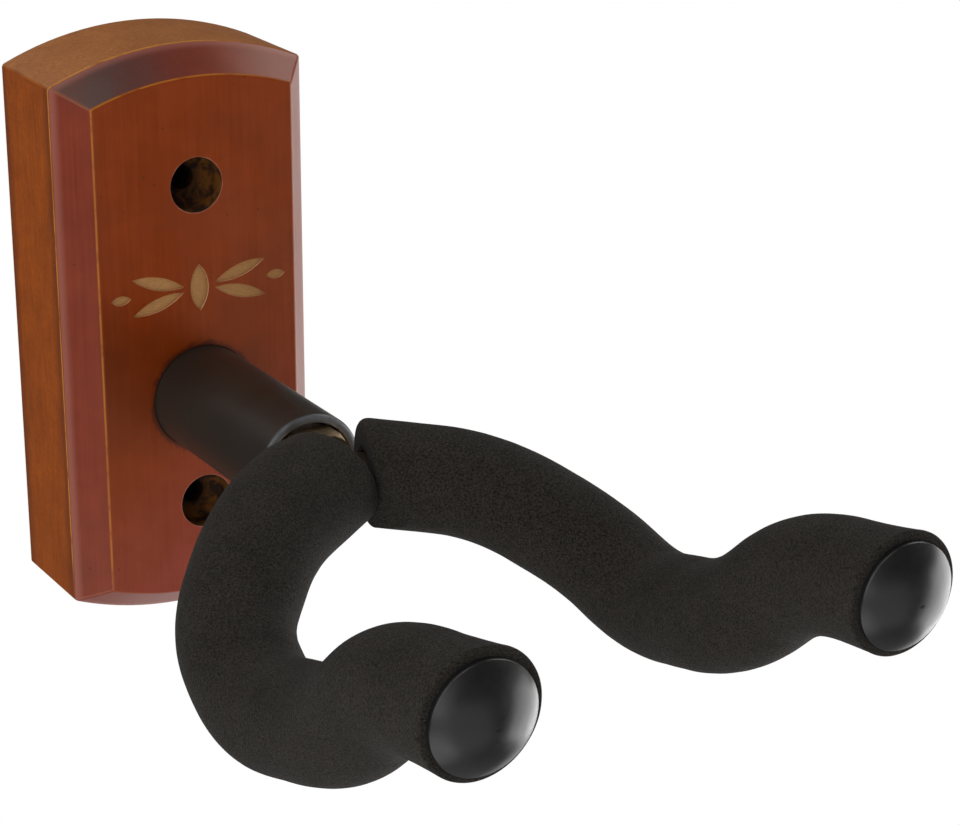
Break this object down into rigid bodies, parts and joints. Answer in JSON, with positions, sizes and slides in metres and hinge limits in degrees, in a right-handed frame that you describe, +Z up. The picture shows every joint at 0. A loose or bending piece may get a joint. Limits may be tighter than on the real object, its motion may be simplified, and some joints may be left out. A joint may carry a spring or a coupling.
{
  "type": "wall guitar hanger",
  "caption": "Arched wood wall block with a steel standoff tube and a swivelling, foam-padded yoke that cradles a guitar's headstock.",
  "frame": {"origin": "on the wall plane, midway between the two wall screws on the block's centreline", "axes": "+X to the right when facing the wall, +Y into the wall (the yoke points along -Y), +Z up"},
  "size_m": [0.1057, 0.2149, 0.1268],
  "materials": {
    "lacquered_wood": "satin red-brown lacquer over fine-grained hardwood, worn thin along the edges",
    "black_powder_coat": "satin black powder coat",
    "zinc_steel": "bright zinc plate",
    "yellow_zinc": "yellow passivated zinc on steel",
    "bare_steel": "turned mild steel, oiled",
    "spring_steel": "dark phosphated spring steel",
    "weld": "as-welded steel bead",
    "nylon": "natural nylon",
    "nylon_blue": "blue nylon",
    "black_foam": "closed-cell black foam, fine matte skin",
    "gloss_black": "glossy moulded black plastic"
  },
  "bodies": {
    "bracket": {"wood_block": "lacquered_wood", "standoff_tube": "black_powder_coat", "tube_flange": "zinc_steel", "flange_weld": "weld", "flange_screws": "zinc_steel", "front_bush": "nylon", "rear_bush": "nylon", "spacer_tube": "bare_steel", "front_thrust_washer": "nylon", "rear_thrust_washer": "nylon"},
    "yoke": {"pivot_stud": "yellow_zinc", "jam_nut": "yellow_zinc", "front_washer": "spring_steel", "rear_washer": "zinc_steel", "spring_washer": "spring_steel", "lock_nut": "zinc_steel", "lock_nut_insert": "nylon_blue", "yoke_rod": "yellow_zinc", "yoke_weld": "yellow_zinc", "foam_sleeve_left": "black_foam", "foam_sleeve_right": "black_foam", "end_cap_left": "gloss_black", "end_cap_right": "gloss_black"}
  },
  "joints": [
    {"name": "yoke_swivel", "type": "hinge", "parent": "bracket", "child": "yoke", "pos_m": [0, -0.079, -0.0113], "axis": [0, -1, 0], "continuous": true}
  ]
}
